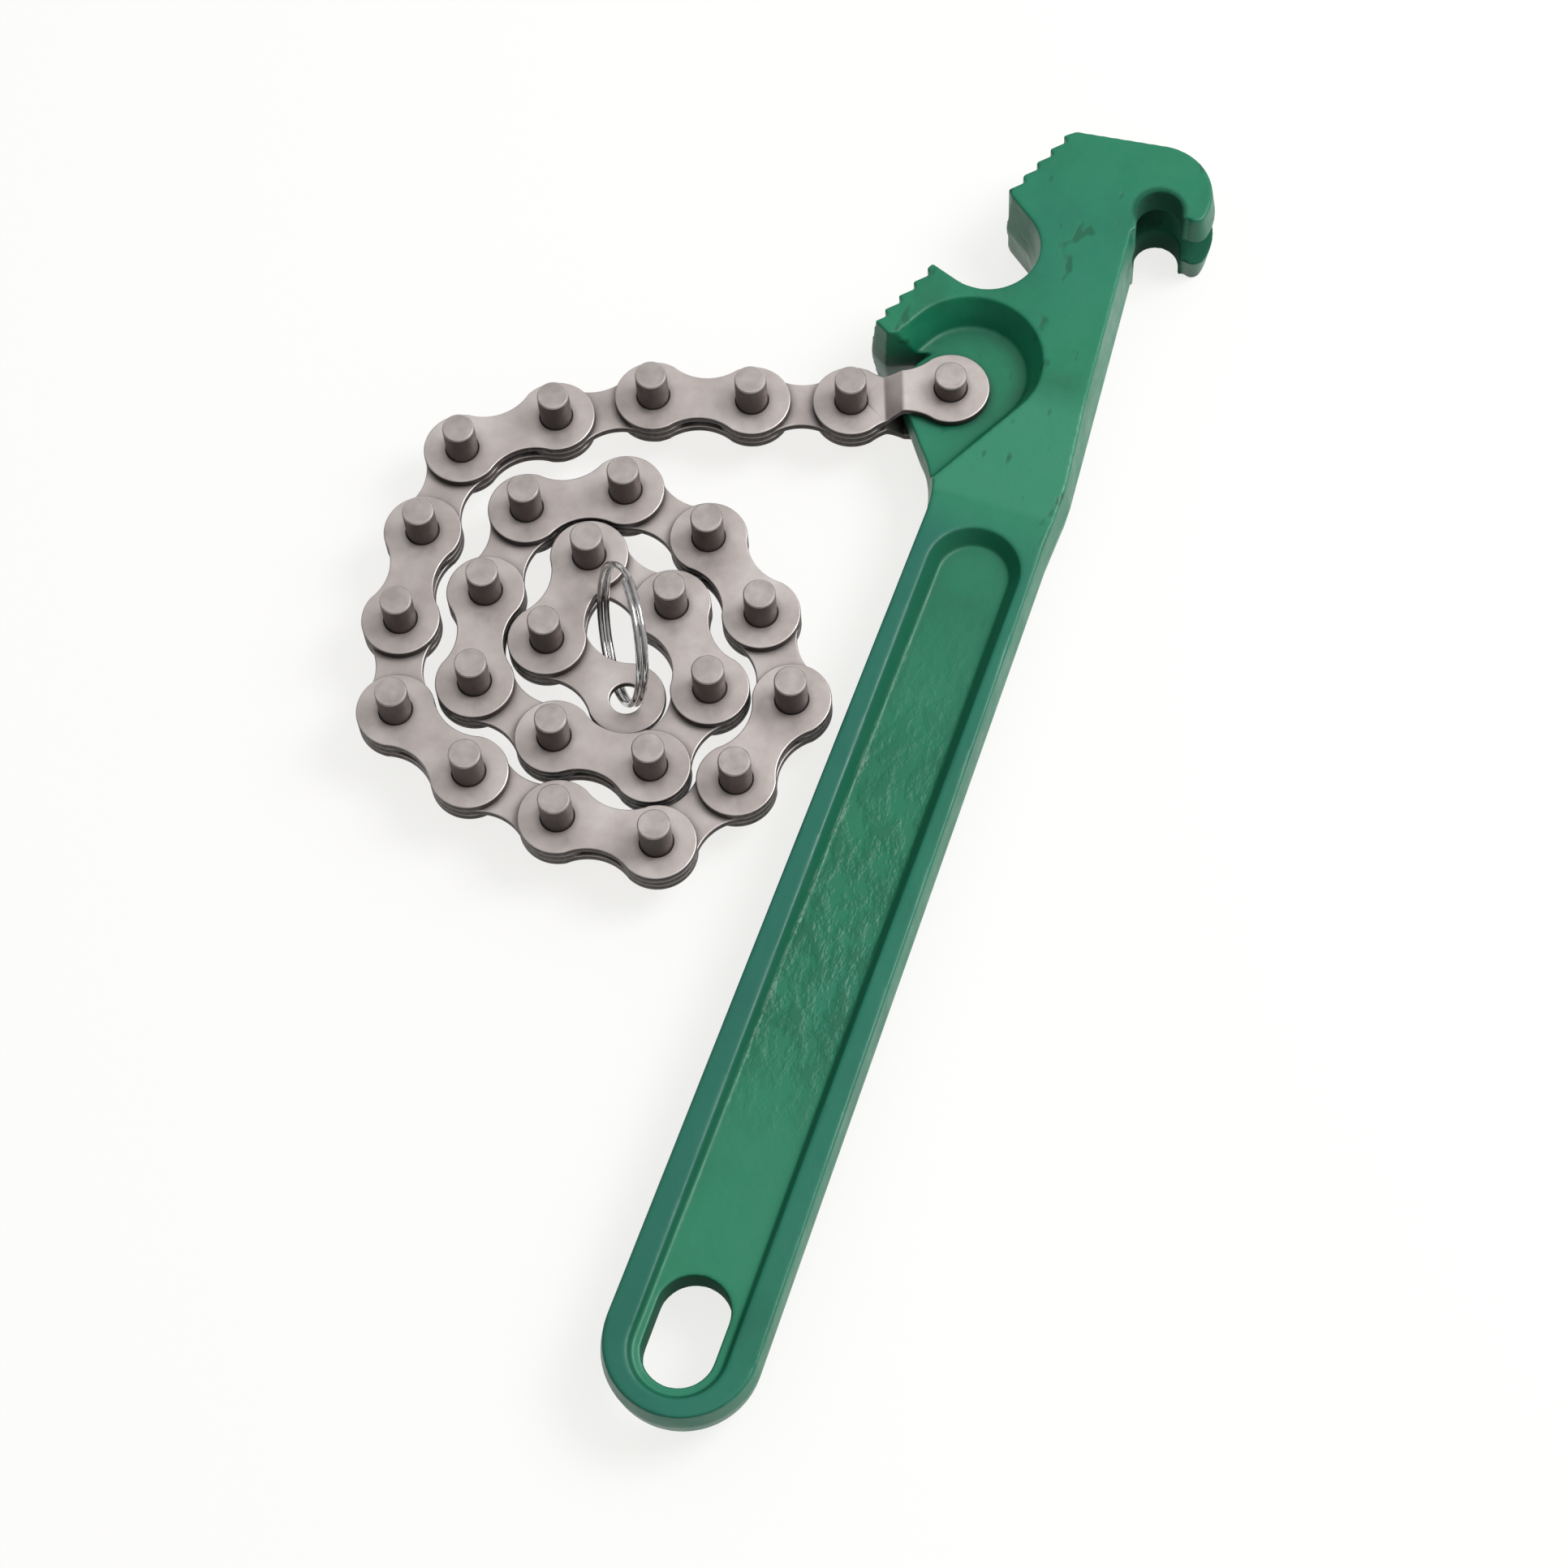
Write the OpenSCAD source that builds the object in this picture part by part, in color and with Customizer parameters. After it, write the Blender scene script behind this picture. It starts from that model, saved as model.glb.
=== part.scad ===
// Chain pipe wrench: a forged handle with two toothed jaws and a forked hook, a coiled chain of
// single and double plates on long pins, and a split ring in the last plate.
// Origin: middle of the hanging hole, half way through the handle's thickness. +Y runs along the
// handle to the head, +Z is up off the table, and the coil lies on the -X side. Millimetres.

/* [Handle] */
// Length of the forging, round end to top of head
overall_length = 225.9; // [205:0.1:250]
// From the middle of the hanging hole to the round end
hole_to_end = 13.7; // [12:0.1:15]
// Width of the grip at its round end
grip_end_width = 24; // [21:0.1:24.5]
// Width of the grip at the neck
grip_neck_width = 20.8; // [18:0.1:22]
// From the top of the head down to the end of the straight grip
neck_drop = 75.2; // [73:0.1:85]
// Radius of the fillet between the grip and the anchor lug
neck_radius = 16; // [12:0.5:18]
// From the middle line out to the shoulder at the back of the head
shoulder_offset = 10.8; // [10:0.1:13]
// From the top of the head down to the shoulder
shoulder_drop = 65.2; // [60:0.1:70]
// From the middle line out to the back of the shank under the hook
shank_offset = 7; // [6:0.1:8]
// From the top of the head down to the end of the shank
shank_drop = 18.7; // [18:0.1:22]
// Fall of the top edge towards the jaws, in degrees
top_fall = 7; // [4:0.1:12]
// Draft of the forging's sides, in degrees
draft = 7.5; // [4:0.5:13]

/* [Thickness] */
// Thickness of the head
head_thick = 17.2; // [15:0.1:20]
// Thickness of the grip at the foot of the ramp
grip_neck_thick = 11; // [9:0.1:13]
// Thickness of the grip at its round end
grip_end_thick = 7.2; // [6:0.1:9]
// From the top of the head down to the top of the ramp
ramp_top_drop = 50.7; // [48:0.1:55]
// From the top of the head down to the foot of the ramp
ramp_foot_drop = 71.7; // [66:0.1:76]

/* [Panel and hanging hole] */
// Thickness left between the two sunk panels
panel_web = 5.4; // [3:0.1:5.8]
// Slope of the panel's walls from upright, in degrees
panel_slope = 36; // [10:1:40]
// Width of the panel's floor at the neck
panel_neck_width = 11.2; // [8:0.1:12]
// Width of the panel's floor at the hanging hole
panel_end_width = 13.5; // [13:0.1:16]
// From the middle line across to the middle of the panel's upper round
panel_neck_across = 0.5; // [-1:0.1:1]
// From the top of the head down to the middle of the panel's upper round
panel_drop = 83.2; // [82:0.1:95]
// From the middle of the hanging hole down to the middle of the panel's lower round
panel_end_drop = 3.1; // [0:0.1:4]
// Width of the hanging hole
hang_width = 10.9; // [8:0.1:12]
// Length of the hanging hole
hang_length = 17.1; // [14:0.1:18]

/* [Jaws] */
// Slope of the rows of teeth from the handle's length, in degrees
jaw_slope = 23; // [20:0.5:25]
// From the middle line out to the first tooth
jaw_offset = 10.1; // [9:0.1:12]
// From the top of the head down to the first tooth
jaw_drop = 4.4; // [4:0.1:7]
// Distance between teeth
tooth_pitch = 3.4; // [3:0.1:3.6]
// Depth of the teeth
tooth_depth = 1.1; // [0.4:0.1:1.4]
// Run of the short flank of a tooth along the row
tooth_step = 0.6; // [0.2:0.1:1.2]
// Teeth on each jaw
jaw_teeth = 5; // [3:1:5]
// From the first tooth of the upper jaw to the first tooth of the lower jaw
jaw_step = 33.4; // [32:0.1:34]
// From the first tooth to the lower end of the lower jaw
jaw_reach = 47; // [45:0.1:48]
// Slope of the lower end of the lower jaw, in degrees
foot_slope = 30; // [20:1:50]
// Radius of the notch between the jaws, at the parting line
notch_radius = 7.2; // [5:0.1:7.5]
// From the first tooth along the row to the middle of the notch
notch_along = 23.6; // [22:0.1:25]
// From the row of teeth in to the middle of the notch
notch_depth = 4.5; // [2:0.1:6]
// Turn of the notch from square to the row, in degrees
notch_turn = 5.5; // [0:0.5:10]
// Flare of the notch's walls, in degrees
notch_flare = 8.5; // [0:0.5:12]

/* [Hook] */
// Radius of the outside of the hook, at the parting line
hook_radius = 10.2; // [9.6:0.1:12]
// From the middle line to the middle of the hook
hook_offset = 7.4; // [7:0.1:9]
// Radius of the finger tips, at the parting line
tip_radius = 2.6; // [2.2:0.1:3.2]
// Turn of the finger tips below the middle of the hook, in degrees
tip_turn = 14; // [5:1:20]
// From the middle of the hook across to the middle of the throat
throat_across = 1.6; // [0.5:0.1:2]
// From the middle of the hook down to the middle of the throat
throat_down = 3.1; // [2:0.1:4]
// Lean of the throat's mouth, in degrees
throat_lean = 15; // [10:1:20]
// Space around a chain pin in the throat
throat_gap = 1.1; // [0.5:0.1:1.4]
// Space beside the chain's plates in the slot
slot_gap = 0.75; // [0.4:0.05:1.2]
// Space around a plate's round end at the root of the slot
root_gap = 1; // [0.5:0.1:1.5]

/* [Anchor] */
// From the middle line out to the first pin
anchor_offset = 13.2; // [12.8:0.1:15]
// From the top of the head down to the first pin
anchor_drop = 52.9; // [52:0.1:55]
// Thickness of the web that carries the first pin
web_thick = 6.6; // [3:0.1:7.5]
// Space between the lug's round edge and the second link's plate
lug_gap = 1.6; // [0.4:0.1:2.2]
// Turn of the lug's edge from the first link to the end of the lower jaw, in degrees
lug_turn = 62; // [50:1:75]
// Space between the first link and the end of the lower jaw
jaw_gap = 1; // [0.8:0.1:2]
// Radius of the recess around the first pin, at its floor
recess_radius = 9.1; // [9:0.1:10]
// From the first pin across to the middle of the recess
recess_across = 1.9; // [1.5:0.1:3]
// From the first pin up to the middle of the recess
recess_up = 3.7; // [3:0.1:4]
// Slope of the recess's walls from upright, in degrees
recess_slope = 26; // [5:1:30]
// Heading of the recess's open side, in degrees
recess_heading = 242; // [238:1:245]

/* [Chain] */
// Distance between neighbouring pins
pitch = 15.875; // [15:0.005:17]
// Space between the ends of plates that follow each other in one layer
end_space = 3.475; // [3.4:0.005:5]
// Width of a plate at its waist
waist_width = 7.4; // [6:0.1:9]
// Radius of a plate's waist
waist_radius = 8; // [7.9:0.1:11]
// Thickness of an inner plate
inner_thick = 1.4; // [1:0.1:1.8]
// Thickness of an outer plate
outer_thick = 1.4; // [1:0.1:1.8]
// Diameter of a pin
pin_diameter = 5.08; // [4:0.01:5.5]
// Chamfer of a pin's ends
pin_chamfer = 0.2; // [0.1:0.05:0.6]
// Radial clearance of a pin that turns in a bore
run_clear = 0.06; // [0.02:0.01:0.1]
// Radial gap of a pin that is pressed into a plate
press_gap = 0.01; // [0.005:0.005:0.02]
// Gap between neighbouring plates on a pin
side_gap = 0.05; // [0.05:0.05:0.2]
// Length of the crank in the first link's plates
crank_run = 2.8; // [2:0.1:5]

/* [Coil] */
// Heading of the first link, in degrees
first_heading = 201; // [200:0.5:203.5]
// Turn from each link to the next one as the chain lies coiled, in degrees
coil_turns = [-3, -3, 17, 8, 48, 11, 10, 48, 13, 13, 57, 17, 50,
    14, 25, 44, 57, 18, 57, 18, 75, 57, 33, 101, 75]; // one value for each pin after the first

/* [Split ring] */
// Outside diameter of the ring
ring_diameter = 23; // [22:0.1:23.5]
// Diameter of the ring's wire
ring_wire = 1; // [0.6:0.1:1.1]
// Gap between the ring's two turns
ring_gap = 0.03; // [0.02:0.01:0.1]
// Angle that each end of the wire stops short of the step between the turns
ring_step = 25; // [15:1:40]
// Heading of the ring's axis, in degrees
ring_heading = 34; // [32:1:36]
// Rise of the ring's axis, in degrees
ring_lean = -13; // [-15:1:-11]
// Place of the hole around the ring, from straight down, in degrees
ring_hang = -45; // [-47:1:-43]
// From the middle of the last hole across to the wire
ring_hole_across = 0.2; // [0:0.1:0.4]
// From the middle of the last hole down the handle to the wire
ring_hole_down = 0.3; // [0:0.1:0.5]

/* [Hidden] */
$fn = 64;
links = len(coil_turns) + 1;
link_numbers = [for (k = [1:links]) k];
top = overall_length - hole_to_end;
half_head = head_thick/2;
draft_inset = half_head*tan(draft);
cut = 40;
eps = 0.5;

pin_radius = pin_diameter/2;
plate_radius = (pitch - end_space)/2;
inner_half = inner_thick/2;
outer_low = inner_half + side_gap;
anchor_low = web_thick/2 + side_gap;
stack = 2*(outer_low + outer_thick);

anchor = [-anchor_offset, top - anchor_drop];
lug_radius = pitch - plate_radius - lug_gap;
first_dir = [cos(first_heading), sin(first_heading)];
first_up = [sin(first_heading), -cos(first_heading)];
recess_centre = anchor + [recess_across, recess_up];

neck_y = top - neck_drop;
end_centre = [0, grip_end_width/2 - hole_to_end];
shoulder = [shoulder_offset, top - shoulder_drop];
shank_end = [shank_offset, top - shank_drop];
hook_centre = [hook_offset, top - hook_radius];
tip_centre = hook_centre + (hook_radius - tip_radius)*[cos(tip_turn), -sin(tip_turn)];
throat = hook_centre + [throat_across, -throat_down];
throat_radius = pin_radius + throat_gap;
slot_width = stack + 2*slot_gap;
root_radius = plate_radius + root_gap;

jaw_start = [-jaw_offset, top - jaw_drop];
jaw_dir = [-sin(jaw_slope), -cos(jaw_slope)];
jaw_out = [-cos(jaw_slope), sin(jaw_slope)];
jaw_stock = draft_inset + 1;
notch_centre = jaw_at(notch_along, -notch_depth);
notch_heading = 180 - jaw_slope - notch_turn;

ring_radius = (ring_diameter - ring_wire)/2;
ring_rise = (ring_wire + ring_gap)/2;

// Heading of each link, and the place of each pin and of the free hole in the last plate
function total(v, n) = n == 0 ? 0 : v[n - 1] + total(v, n - 1);
function joint(k) = k == 0 ? anchor : joint(k - 1) + pitch*[cos(headings[k - 1]), sin(headings[k - 1])];
headings = [for (k = [0:links - 1]) first_heading + total(coil_turns, k)];
joints = [for (k = [0:links]) joint(k)];

function two(k) = str(k < 10 ? "0" : "", k);
function outer(k) = k % 2 == 1;
function link_name(k, piece) = str("link_", two(k), "_", piece);

// The node to draw, or all of them

// Plane geometry
function unit(v) = v/norm(v);
function meet(p, d, q, e) = p + d*cross(q - p, e)/cross(d, e);
function arc(c, r, a, b, n) = [for (i = [0:n]) c + r*[cos(a + (b - a)*i/n), sin(a + (b - a)*i/n)]];
function left_of(p, q) = [p[1] - q[1], q[0] - p[0]]/norm(q - p);
function jaw_at(along, out) = jaw_start + along*jaw_dir + out*jaw_out;
function inset(pts, d) = [for (i = [0:len(pts) - 1])
    let (n = len(pts), m = left_of(pts[(i + n - 1) % n], pts[i]), o = left_of(pts[i], pts[(i + 1) % n]))
    pts[i] + d*(m + o)/(1 + m*o)];
function lift(pts, z) = [for (p = pts) [p[0], p[1], z]];
function span(a, b) = [for (i = [a:b]) i];
function flip(f) = concat([f[0]], [for (i = [len(f) - 1:-1:1]) f[i]]);
function shift(f, d) = [for (i = f) i + d];

// Parting line of the forging, without the notch, anticlockwise, in runs that meet end to end
end_run = arc(end_centre, grip_end_width/2, 180, 360, 28);
back_run = [[grip_neck_width/2, neck_y], shoulder, shank_end];
tip_run = arc(tip_centre, tip_radius, 245, 360 - tip_turn - 15, 6);
hook_run = arc(hook_centre, hook_radius, -tip_turn, 90 + top_fall, 16);
top_dir = [-cos(top_fall), -sin(top_fall)];
jaw_top = meet(hook_run[16], top_dir, jaw_at(0, jaw_stock), jaw_dir);
jaw_foot = jaw_at(jaw_reach, jaw_stock);
block_line = anchor + (plate_radius + jaw_gap)*first_up;
block_corner = meet(jaw_foot, [cos(foot_slope), -sin(foot_slope)], block_line, first_dir);
jaw_run = [jaw_top, jaw_foot, block_corner];
lug_run = arc(anchor, lug_radius, first_heading - lug_turn, 224, 10);
neck_run = arc([-grip_neck_width/2 - neck_radius, neck_y], neck_radius, 44, 0, 8);
parting = concat(end_run, back_run, tip_run, hook_run, jaw_run, lug_run, neck_run);

// First index of each run in the parting line
back_index = len(end_run);
tip_index = back_index + len(back_run);
jaw_index = tip_index + len(tip_run) + len(hook_run);
lug_index = jaw_index + len(jaw_run);
last_index = len(parting) - 1;

// The flat ends of the forging's block, each as three faces that fan out from their first corner
cap_faces = [
    concat([last_index], span(0, back_index)),
    concat([back_index + 1], span(lug_index, last_index), [back_index]),
    concat(span(jaw_index, lug_index), span(back_index + 1, jaw_index - 1))
];

module drafted_block() {
    n = len(parting);
    narrow = inset(parting, draft_inset);
    polyhedron(
        points = concat(lift(narrow, -half_head), lift(parting, 0), lift(narrow, half_head)),
        faces = concat(
            cap_faces,
            [for (f = cap_faces) flip(shift(f, 2*n))],
            [for (l = [0:1], i = [0:n - 1]) let (j = (i + 1) % n)
                [l*n + i, l*n + n + i, l*n + n + j, l*n + j]]
        )
    );
}

module side_profile() {
    foot = top - ramp_foot_drop;
    ramp_run = ramp_foot_drop - ramp_top_drop;
    ramp_rise = (head_thick - grip_neck_thick)/2;
    high = foot + 1.5*ramp_run;
    half = [
        [-hole_to_end - eps, grip_end_thick/2],
        [foot, grip_neck_thick/2],
        [high, grip_neck_thick/2 + 1.5*ramp_rise],
        [top + eps, grip_neck_thick/2 + 1.5*ramp_rise]
    ];
    rotate([90, 0, 90])
        linear_extrude(height = 2*cut, center = true)
            polygon(concat([for (p = half) [p[0], -p[1]]], [for (i = [len(half) - 1:-1:0]) half[i]]));
}

// Cut on the upper side of the handle; the lower side is its mirror
module panel() {
    depth = half_head - panel_web/2;
    widen = depth*tan(panel_slope);
    translate([0, 0, panel_web/2]) hull() {
        translate([panel_neck_across, top - panel_drop, 0])
            cylinder(h = depth, r1 = panel_neck_width/2, r2 = panel_neck_width/2 + widen);
        translate([0, -panel_end_drop, 0])
            cylinder(h = depth, r1 = panel_end_width/2, r2 = panel_end_width/2 + widen);
    }
}

module anchor_recess() {
    depth = half_head - web_thick/2 + eps;
    wide = recess_radius + depth*tan(recess_slope);
    translate([recess_centre[0], recess_centre[1], web_thick/2]) hull() {
        cylinder(h = depth, r1 = recess_radius, r2 = wide);
        rotate([0, 0, recess_heading]) translate([cut, 0, 0])
            cylinder(h = depth, r1 = recess_radius, r2 = wide);
    }
}

module jaw_notch() {
    depth = half_head + eps;
    wide = notch_radius + depth*tan(draft);
    reach = 2*notch_radius;
    flare = reach*sin(notch_flare);
    translate([notch_centre[0], notch_centre[1], 0]) hull() {
        cylinder(h = depth, r1 = notch_radius, r2 = wide);
        rotate([0, 0, notch_heading]) translate([reach, 0, 0])
            cylinder(h = depth, r1 = notch_radius + flare, r2 = wide + flare);
    }
}

module tooth_cut() {
    clear = 4*jaw_stock;
    row = [for (s = [0, jaw_step], i = [0:jaw_teeth - 1], flank = [0, 1])
        jaw_at(s + i*tooth_pitch + flank*tooth_step, -flank*tooth_depth)];
    lead = jaw_at(-2*tooth_pitch, -tooth_pitch);
    linear_extrude(height = 2*cut, center = true)
        polygon(concat(
            [jaw_at(jaw_reach + clear, clear), jaw_at(-2*tooth_pitch, clear), lead],
            row,
            [jaw_at(jaw_reach + clear, 0)]
        ));
}

module hook_throat() {
    translate([throat[0], throat[1], -cut]) {
        cylinder(h = 2*cut, r = throat_radius);
        rotate([0, 0, throat_lean]) translate([-throat_radius, -shank_drop, 0])
            cube([2*throat_radius, shank_drop, 2*cut]);
    }
}

module hook_slot() {
    open_left = 0.6*root_radius;
    translate([throat[0], throat[1], -slot_width/2]) {
        cylinder(h = slot_width, r = root_radius);
        translate([-open_left, 0, 0]) cube([cut, cut, slot_width]);
        translate([0, -root_radius, 0]) cube([cut, cut, slot_width]);
    }
}

module hang_hole() {
    reach = (hang_length - hang_width)/2;
    translate([0, 0, -cut]) {
        for (s = [-1, 1]) translate([0, s*reach, 0]) cylinder(h = 2*cut, r = hang_width/2);
        translate([-hang_width/2, -reach, 0]) cube([hang_width, 2*reach, 2*cut]);
    }
}

module anchor_bore() {
    translate([anchor[0], anchor[1], -cut]) cylinder(h = 2*cut, r = pin_radius + run_clear);
}

module handle() {
    color([0.1, 0.35, 0.2]) difference() {
        intersection() {
            drafted_block();
            side_profile();
        }
        for (m = [0, 1]) mirror([0, 0, m]) {
            panel();
            anchor_recess();
            jaw_notch();
        }
        tooth_cut();
        hook_throat();
        hook_slot();
        hang_hole();
        anchor_bore();
    }
}

// Plan of a plate from its first pin at the origin to its second pin on +X
module plate_plan(bore) {
    waist_y = waist_width/2 + waist_radius;
    side = 0.86*plate_radius;
    difference() {
        union() {
            for (x = [0, pitch]) translate([x, 0]) circle(plate_radius);
            translate([0, -side]) square([pitch, 2*side]);
        }
        for (s = [-1, 1]) translate([pitch/2, s*waist_y]) circle(waist_radius);
        for (x = [0, pitch]) translate([x, 0]) circle(bore);
    }
}

module at_link(k) {
    translate([joints[k - 1][0], joints[k - 1][1], 0]) rotate([0, 0, headings[k - 1]]) children();
}

module flat_plate(low, thick, bore) {
    translate([0, 0, low]) linear_extrude(height = thick) plate_plan(bore);
}

// Upper plate of the first link: its first end lies on the handle's web, and it steps down past the lug
module cranked_plate() {
    from = lug_radius - web_thick/2*tan(draft) + side_gap;
    to = from + crank_run;
    floor_line = [[-pitch, anchor_low], [from, anchor_low], [to, outer_low], [2*pitch, outer_low]];
    intersection() {
        linear_extrude(height = half_head) plate_plan(pin_radius + press_gap);
        rotate([90, 0, 0]) linear_extrude(height = 2*cut, center = true)
            polygon(concat(floor_line,
                [for (i = [3:-1:0]) floor_line[i] + [0, outer_thick]]));
    }
}

module outer_plate(k, side) {
    color([0.62, 0.59, 0.58]) at_link(k) mirror([0, 0, side]) {
        if (k == 1) cranked_plate();
        else flat_plate(outer_low, outer_thick, pin_radius + press_gap);
    }
}

module inner_plate(k) {
    color([0.6, 0.57, 0.56]) at_link(k) flat_plate(-inner_half, inner_thick, pin_radius + run_clear);
}

module pin() {
    straight = head_thick - 2*pin_chamfer;
    tip = pin_radius - pin_chamfer;
    translate([0, 0, -straight/2]) cylinder(h = straight, r = pin_radius);
    for (m = [0, 1]) mirror([0, 0, m]) translate([0, 0, straight/2])
        cylinder(h = pin_chamfer, r1 = pin_radius, r2 = tip);
}

module link_pins(k) {
    color([0.45, 0.42, 0.41]) at_link(k) {
        pin();
        translate([pitch, 0, 0]) pin();
    }
}

// Nearly two turns of wire, with a step from the lower turn to the upper one
function ring_height(a) = ring_rise*min(1, max(-1, (a - 360)/ring_step));

module split_ring() {
    turns = 72;
    sides = 10;
    first = ring_step;
    last = 720 - ring_step;
    points = [for (i = [0:turns], s = [0:sides - 1])
        let (a = first + (last - first)*i/turns, t = 360*s/sides, r = ring_radius + ring_wire/2*cos(t))
        [r*cos(a), r*sin(a), ring_height(a) + ring_wire/2*sin(t)]];
    skin = [for (i = [0:turns - 1], s = [0:sides - 1], half = [0, 1])
        let (a = i*sides + s, b = i*sides + (s + 1) % sides)
        half == 0 ? [a, b, b + sides] : [a, b + sides, a + sides]];
    ends = [flip(span(0, sides - 1)), span(turns*sides, turns*sides + sides - 1)];
    hole = joints[links] + [ring_hole_across, -ring_hole_down];
    color([0.8, 0.8, 0.82])
        translate([hole[0], hole[1], 0])
            rotate([0, 90 - ring_lean, ring_heading])
                rotate([0, 0, ring_hang])
                    translate([-ring_radius, 0, 0])
                        rotate([0, 0, 180])
                            polyhedron(points = points, faces = concat(skin, ends));
}

handle();
for (k = link_numbers) {
    if (outer(k)) outer_plate(k, 0);
    if (outer(k)) outer_plate(k, 1);
    if (outer(k)) link_pins(k);
    if (!outer(k)) inner_plate(k);
}
split_ring();
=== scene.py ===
"""Chain pipe wrench: green enamelled forging, satin steel chain, bright split ring, on a white floor."""
import math

import bpy
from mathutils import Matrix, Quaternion, Vector


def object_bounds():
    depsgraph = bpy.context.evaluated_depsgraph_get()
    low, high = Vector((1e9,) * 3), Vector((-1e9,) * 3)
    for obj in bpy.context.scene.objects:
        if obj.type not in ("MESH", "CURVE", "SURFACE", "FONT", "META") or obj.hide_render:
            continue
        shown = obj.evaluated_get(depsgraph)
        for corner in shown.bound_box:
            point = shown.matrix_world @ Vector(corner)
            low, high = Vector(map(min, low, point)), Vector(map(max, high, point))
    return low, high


MM = 0.001

# Camera, fitted to the chain's pins and to marks on the handle in the photograph; angles in degrees
PHOTO_SIDE_PX = 1932
FOCAL_PX = 5066.3
SENSOR_MM = 36.0
CAMERA_ELEVATION = 64.96
CAMERA_HEADING = 24.27
CAMERA_ROLL = -5.27
CAMERA_TARGET = Vector((-16.1, 87.45, 0.0)) * MM
CAMERA_DISTANCE = 630.6 * MM
CAMERA_CLIP = 10 * MM

# Colours, linear
GREEN = (0.008, 0.222, 0.110, 1.0)
GREEN_DEEP = (0.004, 0.115, 0.058, 1.0)
GREEN_LIGHT = (0.030, 0.275, 0.155, 1.0)
GREEN_TEAL = (0.008, 0.205, 0.135, 1.0)
# Rim green: a teal tone darkened by painted shade.
GREEN_RIM = (0.006, 0.140, 0.105, 1.0)
GREEN_SHADE = (0.002, 0.050, 0.028, 1.0)
STEEL = (0.690, 0.620, 0.595, 1.0)
STEEL_DARK = (0.540, 0.478, 0.455, 1.0)
STEEL_PALE = (0.830, 0.770, 0.740, 1.0)
# Pale rim: partly wear, partly painted highlight. Gap colour: painted shade. Side colours: partly oxide,
# partly painted shade on the upright sides.
STEEL_RIM_HIGHLIGHT = (0.920, 0.890, 0.870, 1.0)
STEEL_GAP_SHADE = (0.030, 0.024, 0.023, 1.0)
STEEL_SIDE = (0.085, 0.067, 0.063, 1.0)
STEEL_SIDE_DARK = (0.036, 0.028, 0.026, 1.0)
PIN_SIDE = (0.140, 0.110, 0.104, 1.0)
PIN_TOP_DARK = (0.430, 0.380, 0.360, 1.0)
PIN_TOP_PALE = (0.680, 0.620, 0.600, 1.0)
CHROME = (0.66, 0.65, 0.65, 1.0)
CHROME_DULL = (0.46, 0.45, 0.45, 1.0)
FLOOR = (1.0, 0.995, 0.975, 1.0)

# Gloss
DULL_WALL_ROUGHNESS = (0.9, 0.9, 0.9, 1.0)
STEEL_SIDE_METALLIC = 0.3
STEEL_FACE_METALLIC = 0.75
STEEL_SPECULAR = 0.15

# Noise scales, grains per metre
MOTTLE_SCALE = 45
TEAL_SCALE = 26
DENT_SCALE = 260
CRUMB_SCALE = 330
ENAMEL_GLOSS_SCALE = 220
PEEL_SCALE = 420
WAVE_SCALE = 95
SIDE_SCALE = 160
PLATE_SCALE = 110
PLATE_GLOSS_SCALE = 700
PLATE_GRAIN_SCALE = 1600
PIN_SCALE = 300
PIN_GLOSS_SCALE = 600
PIN_GRAIN_SCALE = 1400
CHROME_SCALE = 400
CHROME_GLOSS_SCALE = 900

# Where the handle's paint changes, painted shade and painted sheen among it. Each pair runs from where the
# change is nil to where it is full.
# along is the frame's Y, across its X, beside the distance from the middle line, height that from
# the middle of the thickness.
GRIP_ALONG = (140 * MM, 132 * MM)
PANEL_FLOOR_HEIGHT = (3.2 * MM, 2.9 * MM)
PANEL_WALL_BESIDE = (9.4 * MM, 8.8 * MM)
PANEL_WALL_ALONG = (140 * MM, 136 * MM)
GRIP_RIM_HEIGHT = (2.9 * MM, 3.3 * MM)
GRIP_RIM_ACROSS = (6 * MM, -6 * MM)
HOLE_BESIDE = (6.6 * MM, 6.0 * MM)
HOLE_ALONG = (9.8 * MM, 9.2 * MM)
SLOT_HEIGHT = (3.5 * MM, 3.1 * MM)
SLOT_ALONG = (192.5 * MM, 193.8 * MM)
SLOT_ACROSS = (1 * MM, 4 * MM)
THROAT_MIDDLE = (9.0 * MM, 198.9 * MM, 0.0)
THROAT_RADIUS = (4.8 * MM, 4.1 * MM)
RAMP_FOOT_ALONG = (140.2 * MM, 141.4 * MM)
RAMP_TOP_ALONG = (163 * MM, 158 * MM)
RAMP_HEIGHT = (4.0 * MM, 5.0 * MM)
DENTS_ALONG = (132 * MM, 145 * MM)
CRUMBS_START_ALONG = (28 * MM, 52 * MM)
CRUMBS_END_ALONG = (128 * MM, 74 * MM)
PALE_PANEL_ALONG = (60 * MM, 30 * MM)
PANEL_DARKENING_ALONG = (10 * MM, 70 * MM)

# Upright share of a face's normal: from side to flat face, and on the panel's sloping walls
FACE_UPRIGHT = (0.35, 0.75)
PANEL_WALL_UPRIGHT = (0.45, 0.75)
SLOPE_FADE = 0.15

# Edge wear with painted highlight, and painted shade in corners
EDGE_TURN = (0.995, 0.88)
CORNER_LIGHT = (0.90, 0.30)
BEVEL_SAMPLES = 6
CORNER_SAMPLES = 8

# Light. The floor scatters little, and glows for the rays that should see a white background.
FLOOR_SIDE = 40.0
FLOOR_DIFFUSE = 0.25
FLOOR_GLOW = 0.78
SKY_BRIGHT_SIDE = (0.30, 0.40, 0.87)
SKY_TURN = (-0.3, 1.0)
SKY_BRIGHT = 0.72
SKY_DIM = 0.05
SOFTBOX_POWER = 3.5
SOFTBOX_SIZE = (0.36, 0.36)
SOFTBOX_PLACE = (0.39, 0.38, 0.63)

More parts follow.
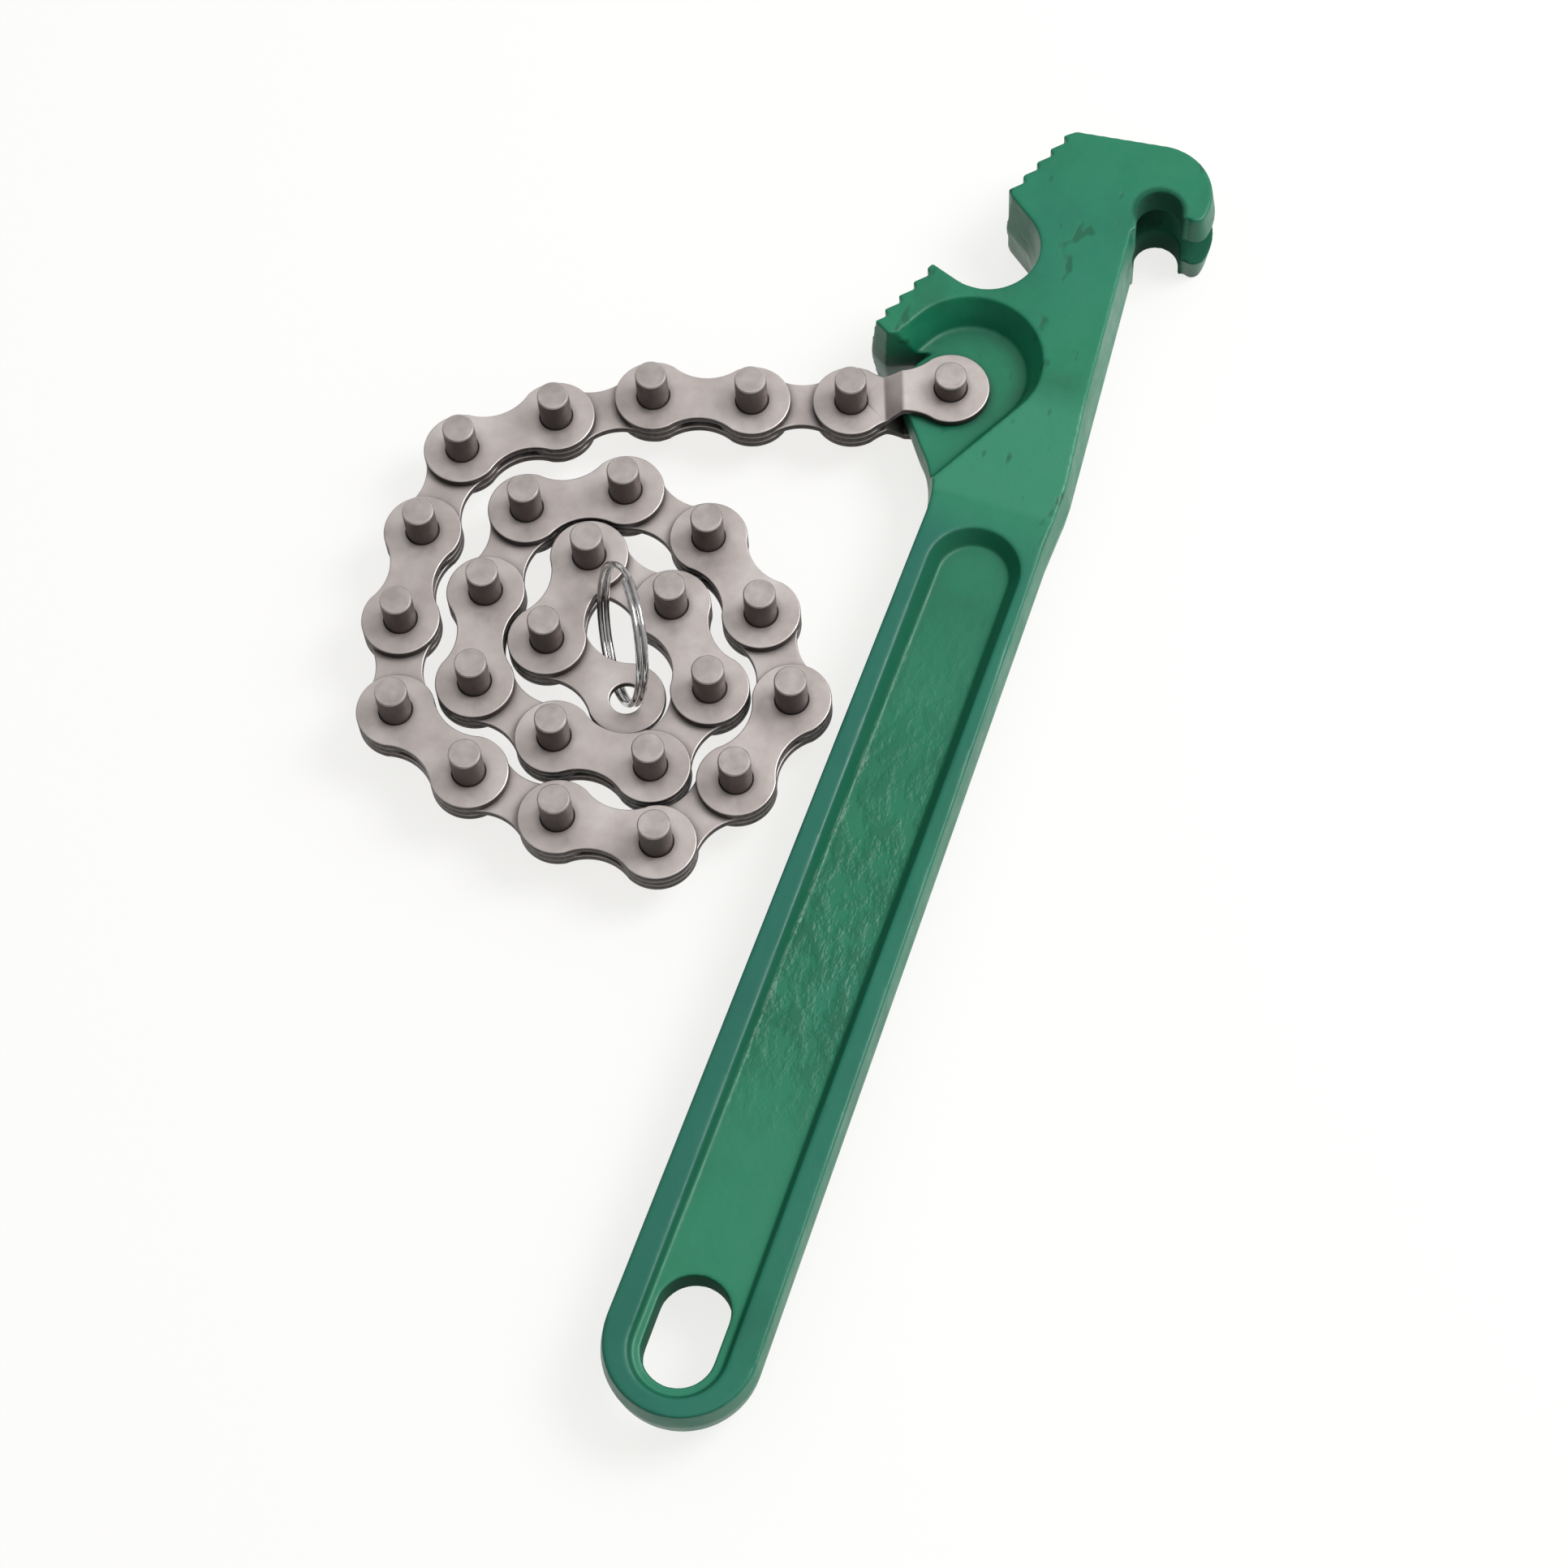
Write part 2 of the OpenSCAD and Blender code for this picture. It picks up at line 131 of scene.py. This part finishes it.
# Edge breaks and mesh detail
FORGING_VOXEL = 0.25 * MM
FORGING_ROUNDING_STEPS = 9
FORGING_SMOOTHING = 0.5
PLATE_EDGE = 0.25 * MM
PIN_EDGE = 0.08 * MM
EDGE_SEGMENTS = 3
EDGE_ANGLE = math.radians(40)
RING_LEVELS = 1
SMOOTH_ANGLE = math.radians(32)
WELD_DISTANCE = 0.002 * MM


class Shader:
    """A material's node tree with short calls for the nodes that the finishes share."""

    def __init__(self, name):
        self.material = bpy.data.materials.new(name)
        self.material.use_nodes = True
        self.tree = self.material.node_tree
        self.surface = self.tree.nodes["Principled BSDF"]
        self.place = self.node("ShaderNodeTexCoord").outputs["Object"]

    def node(self, kind, **settings):
        made = self.tree.nodes.new(kind)
        for key, value in settings.items():
            setattr(made, key, value)
        return made

    def link(self, source, target):
        self.tree.links.new(source, target)

    def feed(self, socket, value):
        """Sets a socket to a plain value, or links it to another socket."""
        if isinstance(value, (int, float, tuple)):
            socket.default_value = value
        else:
            self.link(value, socket)

    def noise(self, scale, detail=4.0, roughness=0.55, stretch=(1, 1, 1)):
        mapping = self.node("ShaderNodeMapping")
        mapping.inputs["Scale"].default_value = stretch
        self.link(self.place, mapping.inputs["Vector"])
        made = self.node("ShaderNodeTexNoise")
        made.inputs["Scale"].default_value = scale
        made.inputs["Detail"].default_value = detail
        made.inputs["Roughness"].default_value = roughness
        self.link(mapping.outputs["Vector"], made.inputs["Vector"])
        return made.outputs["Fac"]

    def ramp(self, value, *stops):
        made = self.node("ShaderNodeValToRGB")
        elements = made.color_ramp.elements
        while len(elements) < len(stops):
            elements.new(0.5)
        for element, (position, colour) in zip(elements, stops):
            element.position = position
            element.color = colour
        self.link(value, made.inputs["Fac"])
        return made.outputs["Color"]

    def grey(self, value, *stops):
        return self.ramp(value, *[(at, (level, level, level, 1.0)) for at, level in stops])

    def mix(self, factor, first, second):
        made = self.node("ShaderNodeMix", data_type="RGBA")
        for socket, value in ((0, factor), (6, first), (7, second)):
            self.feed(made.inputs[socket], value)
        return made.outputs[2]

    def tint(self, colour, other, mask, share=1.0):
        """Mixes this share of another colour in where the mask is 1."""
        return self.mix(self.both(mask, share), colour, other)

    def bump(self, height, strength, distance, below=None):
        made = self.node("ShaderNodeBump")
        made.inputs["Strength"].default_value = strength
        made.inputs["Distance"].default_value = distance
        self.link(height, made.inputs["Height"])
        if below is not None:
            self.link(below, made.inputs["Normal"])
        return made.outputs["Normal"]

    def math(self, operation, first, second=0.0):
        made = self.node("ShaderNodeMath", operation=operation)
        for socket, value in zip(made.inputs, (first, second)):
            self.feed(socket, value)
        return made.outputs[0]

    def both(self, first, *others):
        """A mask that is full where all of these are."""
        for other in others:
            first = self.math("MULTIPLY", first, other)
        return first

    def either(self, first, *others):
        """A mask that is full where any of these is."""
        for other in others:
            first = self.math("MAXIMUM", first, other)
        return first

    def fade(self, value, start, end):
        """0 up to start, 1 from end on."""
        made = self.node("ShaderNodeMapRange")
        made.inputs["From Min"].default_value = start
        made.inputs["From Max"].default_value = end
        self.link(value, made.inputs["Value"])
        return made.outputs["Result"]

    def part(self, vector, axis):
        made = self.node("ShaderNodeSeparateXYZ")
        self.link(vector, made.inputs["Vector"])
        return made.outputs[axis]

    def distance(self, middle):
        """Distance from an upright axis through this point."""
        flat = self.node("ShaderNodeVectorMath", operation="MULTIPLY")
        flat.inputs[1].default_value = (1, 1, 0)
        self.link(self.place, flat.inputs[0])
        made = self.node("ShaderNodeVectorMath", operation="DISTANCE")
        made.inputs[1].default_value = middle
        self.link(flat.outputs["Vector"], made.inputs[0])
        return made.outputs["Value"]

    def normal(self):
        return self.node("ShaderNodeNewGeometry").outputs["Normal"]

    def upright(self):
        """Upright share of the normal: 1 on flat upper and lower faces, 0 on upright sides."""
        return self.math("ABSOLUTE", self.part(self.normal(), "Z"))

    def face(self):
        """1 on flat upper and lower faces, 0 on upright sides."""
        return self.fade(self.upright(), *FACE_UPRIGHT)

    def slope(self, least, most):
        """1 where the normal's upright share lies between these."""
        upright = self.upright()
        return self.both(
            self.fade(upright, least - SLOPE_FADE, least),
            self.fade(upright, most + SLOPE_FADE, most),
        )

    def edge_wear_and_highlight(self, radius):
        """1 on edges that a bevel of this radius would turn, 0 elsewhere; the lighter colour put there is
        partly wear and partly painted highlight.
        """
        bevel = self.node("ShaderNodeBevel", samples=BEVEL_SAMPLES)
        bevel.inputs["Radius"].default_value = radius
        turn = self.node("ShaderNodeVectorMath", operation="DOT_PRODUCT")
        self.link(bevel.outputs["Normal"], turn.inputs[0])
        self.link(self.normal(), turn.inputs[1])
        return self.fade(turn.outputs["Value"], *EDGE_TURN)

    def crevices(self, distance):
        """1 in deep corners, 0 in the open; the colour put there is painted shade."""
        made = self.node("ShaderNodeAmbientOcclusion", samples=CORNER_SAMPLES)
        made.inputs["Distance"].default_value = distance
        return self.fade(made.outputs["AO"], *CORNER_LIGHT)

    def set(self, **sockets):
        for name, value in sockets.items():
            self.feed(self.surface.inputs[name.replace("_", " ")], value)


def enamel():
    """Green enamel over a forging: mottled, bluish and darker on the grip's rim with painted shade towards
    the left, painted shade in corners and on the panel's walls, slot, throat and hole, a painted sheen on
    the ramp, edges lighter from wear and painted highlight, rough in panels.
    """
    s = Shader("green_enamel")
    across = s.part(s.place, "X")
    along = s.part(s.place, "Y")
    beside = s.math("ABSOLUTE", across)
    height = s.math("ABSOLUTE", s.part(s.place, "Z"))
    face = s.face()
    side = s.math("SUBTRACT", 1.0, face)

    grip_face = s.both(face, s.fade(along, *GRIP_ALONG))
    grip_rim = s.both(grip_face, s.fade(height, *GRIP_RIM_HEIGHT))
    panel_floor = s.both(grip_face, s.fade(height, *PANEL_FLOOR_HEIGHT))
    # The panel's sloping walls, which get painted shade.
    shaded_panel_wall = s.both(
        s.slope(*PANEL_WALL_UPRIGHT),
        s.fade(beside, *PANEL_WALL_BESIDE),
        s.fade(along, *PANEL_WALL_ALONG),
    )
    hole_wall = s.both(
        s.fade(beside, *HOLE_BESIDE),
        s.fade(s.math("ABSOLUTE", along), *HOLE_ALONG),
        side,
    )
    slot = s.both(s.fade(height, *SLOT_HEIGHT), s.fade(along, *SLOT_ALONG), s.fade(across, *SLOT_ACROSS))
    throat = s.fade(s.distance(THROAT_MIDDLE), *THROAT_RADIUS)
    # The slot, the hook's throat and the hole's wall, which get painted shade and a rougher finish.
    painted_shade_walls = s.either(slot, throat, hole_wall)
    # The ramp's face, which gets a painted sheen.
    ramp = s.both(
        s.fade(along, *RAMP_FOOT_ALONG),
        s.fade(along, *RAMP_TOP_ALONG),
        face,
        s.fade(height, *RAMP_HEIGHT),
    )

    dents = s.grey(s.noise(DENT_SCALE, detail=2, stretch=(1, 0.5, 1)), (0.64, 0), (0.70, 1))
    dents = s.both(dents, s.fade(along, *DENTS_ALONG))
    crumbs = s.noise(CRUMB_SCALE, detail=3, roughness=0.65, stretch=(1, 0.6, 1))
    crumbs = s.both(
        s.grey(crumbs, (0.42, 0), (0.62, 1)),
        panel_floor,
        s.fade(along, *CRUMBS_START_ALONG),
        s.fade(along, *CRUMBS_END_ALONG),
    )
    teal_patches = s.grey(s.noise(TEAL_SCALE, detail=3), (0.42, 0), (0.62, 0.4))
    rim_teal_and_shade = s.grey(s.fade(across, *GRIP_RIM_ACROSS), (0, 0.45), (1, 0.75))
    pale_panel = s.both(panel_floor, s.fade(along, *PALE_PANEL_ALONG))
    panel_floor_darkening = s.both(panel_floor, s.fade(along, *PANEL_DARKENING_ALONG))

    colour = s.ramp(
        s.noise(MOTTLE_SCALE, detail=5), (0.34, GREEN_DEEP), (0.48, GREEN), (0.75, GREEN_LIGHT)
    )
    colour = s.mix(factor=0.45, first=colour, second=GREEN)
    colour = s.tint(colour, GREEN_TEAL, teal_patches)
    # The grip's rim: partly a darker teal tone, partly painted shade, more of it towards the left side.
    colour = s.tint(colour, GREEN_RIM, grip_rim, rim_teal_and_shade)
    # Painted sheen: the ramp is lighter, as where it reflects the light.
    colour = s.tint(colour, GREEN_LIGHT, ramp)
    colour = s.tint(colour, GREEN_LIGHT, pale_panel, share=0.4)
    colour = s.tint(colour, GREEN_DEEP, dents, share=0.8)
    # The panel floor grows darker towards the head.
    colour = s.tint(colour, GREEN_DEEP, panel_floor_darkening, share=0.2)
    colour = s.tint(colour, GREEN_DEEP, crumbs, share=0.5)
    # Lighter green on the edges: partly worn thin paint, partly painted highlight.
    colour = s.tint(colour, GREEN_LIGHT, s.edge_wear_and_highlight(0.5 * MM), share=0.3)
    # Painted shade on the panel's sloping walls.
    colour = s.tint(colour, GREEN_DEEP, shaded_panel_wall, share=0.75)
    # Painted shade in the slot, in the hook's throat and on the hole's wall.
    colour = s.tint(colour, GREEN_SHADE, painted_shade_walls, share=0.65)
    # Painted shade in corners and recesses.
    colour = s.tint(colour, GREEN_DEEP, s.crevices(2.5 * MM), share=0.8)
    colour = s.tint(colour, GREEN_SHADE, s.crevices(6 * MM), share=0.9)
    gloss = s.grey(s.noise(ENAMEL_GLOSS_SCALE), (0.3, 0.33), (0.7, 0.48))

    relief = s.bump(s.noise(PEEL_SCALE, detail=6), strength=0.10, distance=0.6 * MM)
    relief = s.bump(crumbs, strength=0.27, distance=0.8 * MM, below=relief)
    relief = s.bump(s.math("MULTIPLY", dents, -1.0), strength=0.12, distance=0.5 * MM, below=relief)
    relief = s.bump(s.noise(WAVE_SCALE, detail=3), strength=0.10, distance=1.2 * MM, below=relief)
    s.set(Base_Color=colour, Roughness=s.mix(painted_shade_walls, gloss, DULL_WALL_ROUGHNESS), Normal=relief)
    return s.material


def steel_metallic(s, face):
    return s.grey(face, (0.0, STEEL_SIDE_METALLIC), (1.0, STEEL_FACE_METALLIC))


def plate_steel():
    """Satin plates with pale rims that are partly wear and partly painted highlight, dark sides that are
    partly oxide and partly painted shade, and painted shade in the gaps.
    """
    s = Shader("plate_steel")
    face = s.face()
    # Upright sides darker than the faces: partly oxide, partly painted shade.
    side = s.ramp(s.noise(SIDE_SCALE), (0.3, STEEL_SIDE_DARK), (0.7, STEEL_SIDE))
    flat = s.ramp(
        s.noise(PLATE_SCALE, detail=5), (0.30, STEEL_DARK), (0.52, STEEL), (0.75, STEEL_PALE)
    )
    colour = s.mix(face, side, flat)
    # Pale rims: partly wear, partly painted highlight.
    colour = s.tint(colour, STEEL_RIM_HIGHLIGHT, s.edge_wear_and_highlight(0.3 * MM), share=0.8)
    # Painted shade in the gaps between the plates.
    colour = s.tint(colour, STEEL_GAP_SHADE, s.crevices(2.0 * MM), share=0.9)
    s.set(
        Base_Color=colour,
        Metallic=steel_metallic(s, face),
        Specular_IOR_Level=STEEL_SPECULAR,
        Roughness=s.grey(s.noise(PLATE_GLOSS_SCALE), (0.3, 0.38), (0.7, 0.52)),
        Normal=s.bump(s.noise(PLATE_GRAIN_SCALE, detail=4), strength=0.06, distance=0.2 * MM),
    )
    return s.material


def pin_steel():
    """Pins with pale rims that are partly wear and partly painted highlight, and dark sides that are
    partly oxide and partly painted shade.
    """
    s = Shader("pin_steel")
    face = s.face()
    # Upright sides darker than the lighter tops: partly oxide, partly painted shade.
    side = s.ramp(s.noise(SIDE_SCALE, stretch=(1, 1, 0.3)), (0.3, STEEL_SIDE), (0.7, PIN_SIDE))
    top = s.ramp(s.noise(PIN_SCALE), (0.2, PIN_TOP_DARK), (0.8, PIN_TOP_PALE))
    colour = s.mix(face, side, top)
    # Pale rims: partly wear, partly painted highlight.
    colour = s.tint(colour, STEEL_RIM_HIGHLIGHT, s.edge_wear_and_highlight(0.25 * MM), share=0.8)
    s.set(
        Base_Color=colour,
        Metallic=steel_metallic(s, face),
        Specular_IOR_Level=STEEL_SPECULAR,
        Roughness=s.grey(s.noise(PIN_GLOSS_SCALE), (0.3, 0.36), (0.7, 0.50)),
        Normal=s.bump(s.noise(PIN_GRAIN_SCALE), strength=0.05, distance=0.2 * MM),
    )
    return s.material


def chrome():
    s = Shader("bright_ring")
    s.set(
        Base_Color=s.ramp(s.noise(CHROME_SCALE), (0.3, CHROME_DULL), (0.7, CHROME)),
        Metallic=1.0,
        Roughness=s.grey(s.noise(CHROME_GLOSS_SCALE), (0.3, 0.08), (0.7, 0.18)),
    )
    return s.material


def smooth_group():
    """Geometry nodes that shade faces smooth and keep edges sharper than SMOOTH_ANGLE."""
    tree = bpy.data.node_groups.new("smooth_by_angle", "GeometryNodeTree")
    for way in ("INPUT", "OUTPUT"):
        tree.interface.new_socket("Geometry", in_out=way, socket_type="NodeSocketGeometry")
    start = tree.nodes.new("NodeGroupInput")
    faces = tree.nodes.new("GeometryNodeSetShadeSmooth")
    edges = tree.nodes.new("GeometryNodeSetShadeSmooth")
    edges.domain = "EDGE"
    edges.inputs["Shade Smooth"].default_value = False
    angle = tree.nodes.new("GeometryNodeInputMeshEdgeAngle")
    sharp = tree.nodes.new("FunctionNodeCompare")
    sharp.operation = "GREATER_THAN"
    sharp.inputs[1].default_value = SMOOTH_ANGLE
    end = tree.nodes.new("NodeGroupOutput")
    for source, target in (
        (start.outputs[0], faces.inputs["Geometry"]),
        (faces.outputs[0], edges.inputs["Geometry"]),
        (angle.outputs["Unsigned Angle"], sharp.inputs[0]),
        (sharp.outputs[0], edges.inputs["Selection"]),
        (edges.outputs[0], end.inputs[0]),
    ):
        tree.links.new(source, target)
    return tree


def weld(obj):
    made = obj.modifiers.new("weld", "WELD")
    made.merge_threshold = WELD_DISTANCE


def shade_smooth(obj, group):
    obj.modifiers.new("smooth", "NODES").node_group = group


def round_edges(obj, width):
    made = obj.modifiers.new("edge", "BEVEL")
    made.width = width
    made.segments = EDGE_SEGMENTS
    made.limit_method = "ANGLE"
    made.angle_limit = EDGE_ANGLE


def flat_normals(obj):
    obj.modifiers.new("normals", "WEIGHTED_NORMAL").keep_sharp = True


def round_forging(obj):
    """Blends every edge and corner of the handle, as on a forging that was tumbled and enamelled."""
    remesh = obj.modifiers.new("blend", "REMESH")
    remesh.mode = "VOXEL"
    remesh.voxel_size = FORGING_VOXEL
    remesh.use_smooth_shade = True
    smooth = obj.modifiers.new("rounding", "SMOOTH")
    smooth.factor = FORGING_SMOOTHING
    smooth.iterations = FORGING_ROUNDING_STEPS


def paint(obj, material):
    obj.data.materials.clear()
    obj.data.materials.append(material)


def dress(nodes):
    group = smooth_group()
    plate, pin, ring = plate_steel(), pin_steel(), chrome()
    for name, obj in nodes.items():
        weld(obj)
        if name == "handle":
            round_forging(obj)
            paint(obj, enamel())
        elif name == "split_ring":
            obj.modifiers.new("round", "SUBSURF").render_levels = RING_LEVELS
            shade_smooth(obj, group)
            paint(obj, ring)
        else:
            is_pin = name.endswith("pins")
            round_edges(obj, PIN_EDGE if is_pin else PLATE_EDGE)
            shade_smooth(obj, group)
            flat_normals(obj)
            paint(obj, pin if is_pin else plate)


def background_ray(tree):
    """1 for rays that should see the plain white background."""
    path = tree.nodes.new("ShaderNodeLightPath")
    total = path.outputs["Is Camera Ray"]
    for name in ("Is Glossy Ray", "Is Transmission Ray"):
        join = tree.nodes.new("ShaderNodeMath")
        join.operation = "MAXIMUM"
        tree.links.new(total, join.inputs[0])
        tree.links.new(path.outputs[name], join.inputs[1])
        total = join.outputs[0]
    return total


def floor(height):
    bpy.ops.mesh.primitive_plane_add(size=FLOOR_SIDE, location=(0, 0, height))
    plane = bpy.context.object
    plane.name = "floor"
    material = bpy.data.materials.new("floor_white")
    material.use_nodes = True
    tree = material.node_tree
    tree.nodes.clear()
    diffuse = tree.nodes.new("ShaderNodeBsdfDiffuse")
    diffuse.inputs["Color"].default_value = (FLOOR_DIFFUSE, FLOOR_DIFFUSE, FLOOR_DIFFUSE, 1.0)
    glow = tree.nodes.new("ShaderNodeEmission")
    glow.inputs["Color"].default_value = FLOOR
    both = tree.nodes.new("ShaderNodeAddShader")
    out = tree.nodes.new("ShaderNodeOutputMaterial")
    share = tree.nodes.new("ShaderNodeMath")
    share.operation = "MULTIPLY"
    share.inputs[1].default_value = FLOOR_GLOW
    for source, target in (
        (background_ray(tree), share.inputs[0]),
        (share.outputs[0], glow.inputs["Strength"]),
        (diffuse.outputs[0], both.inputs[0]),
        (glow.outputs[0], both.inputs[1]),
        (both.outputs[0], out.inputs["Surface"]),
    ):
        tree.links.new(source, target)
    plane.data.materials.append(material)


def sky():
    """Soft light that is bright from above and behind on the right, and dim from the other side."""
    world = bpy.data.worlds.new("studio")
    bpy.context.scene.world = world
    world.use_nodes = True
    tree = world.node_tree
    tree.nodes.clear()
    place = tree.nodes.new("ShaderNodeTexCoord")
    towards = tree.nodes.new("ShaderNodeVectorMath")
    towards.operation = "DOT_PRODUCT"
    towards.inputs[1].default_value = SKY_BRIGHT_SIDE
    fall = tree.nodes.new("ShaderNodeMapRange")
    limits = zip(("From Min", "From Max", "To Min", "To Max"), (*SKY_TURN, SKY_DIM, SKY_BRIGHT))
    for name, value in limits:
        fall.inputs[name].default_value = value
    light = tree.nodes.new("ShaderNodeBackground")
    light.inputs["Color"].default_value = (1, 1, 1, 1)
    out = tree.nodes.new("ShaderNodeOutputWorld")
    for source, target in (
        (place.outputs["Generated"], towards.inputs[0]),
        (towards.outputs["Value"], fall.inputs["Value"]),
        (fall.outputs["Result"], light.inputs["Strength"]),
        (light.outputs[0], out.inputs["Surface"]),
    ):
        tree.links.new(source, target)


def softbox(name, place, target, size, power):
    lamp = bpy.data.lights.new(name, "AREA")
    lamp.shape = "RECTANGLE"
    lamp.size, lamp.size_y = size
    lamp.energy = power
    obj = bpy.data.objects.new(name, lamp)
    bpy.context.collection.objects.link(obj)
    obj.location = place
    obj.rotation_mode = "QUATERNION"
    obj.rotation_quaternion = (Vector(target) - Vector(place)).to_track_quat("-Z", "Y")


def camera():
    elevation, heading = math.radians(CAMERA_ELEVATION), math.radians(CAMERA_HEADING)
    forward = Vector((
        -math.sin(heading) * math.cos(elevation),
        math.cos(heading) * math.cos(elevation),
        -math.sin(elevation),
    ))
    data = bpy.data.cameras.new("photo_camera")
    data.sensor_width = SENSOR_MM
    data.lens = SENSOR_MM * FOCAL_PX / PHOTO_SIDE_PX
    data.clip_start = CAMERA_CLIP
    obj = bpy.data.objects.new("photo_camera", data)
    bpy.context.collection.objects.link(obj)
    obj.location = CAMERA_TARGET - CAMERA_DISTANCE * forward
    obj.rotation_mode = "QUATERNION"
    roll = Quaternion((0, 0, 1), math.radians(CAMERA_ROLL))
    obj.rotation_quaternion = forward.to_track_quat("-Z", "Y") @ roll
    bpy.context.scene.camera = obj


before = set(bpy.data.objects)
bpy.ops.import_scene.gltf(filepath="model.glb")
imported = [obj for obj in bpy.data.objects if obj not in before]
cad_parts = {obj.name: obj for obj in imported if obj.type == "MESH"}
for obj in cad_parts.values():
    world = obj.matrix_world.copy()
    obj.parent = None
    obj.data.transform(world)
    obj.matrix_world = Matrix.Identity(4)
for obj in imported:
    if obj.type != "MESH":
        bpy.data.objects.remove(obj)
cad_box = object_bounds()
bpy.context.scene.view_settings.view_transform = "Standard"
dress(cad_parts)
floor(cad_box[0].z)
sky()
softbox("overhead", SOFTBOX_PLACE, CAMERA_TARGET, SOFTBOX_SIZE, SOFTBOX_POWER)
camera()
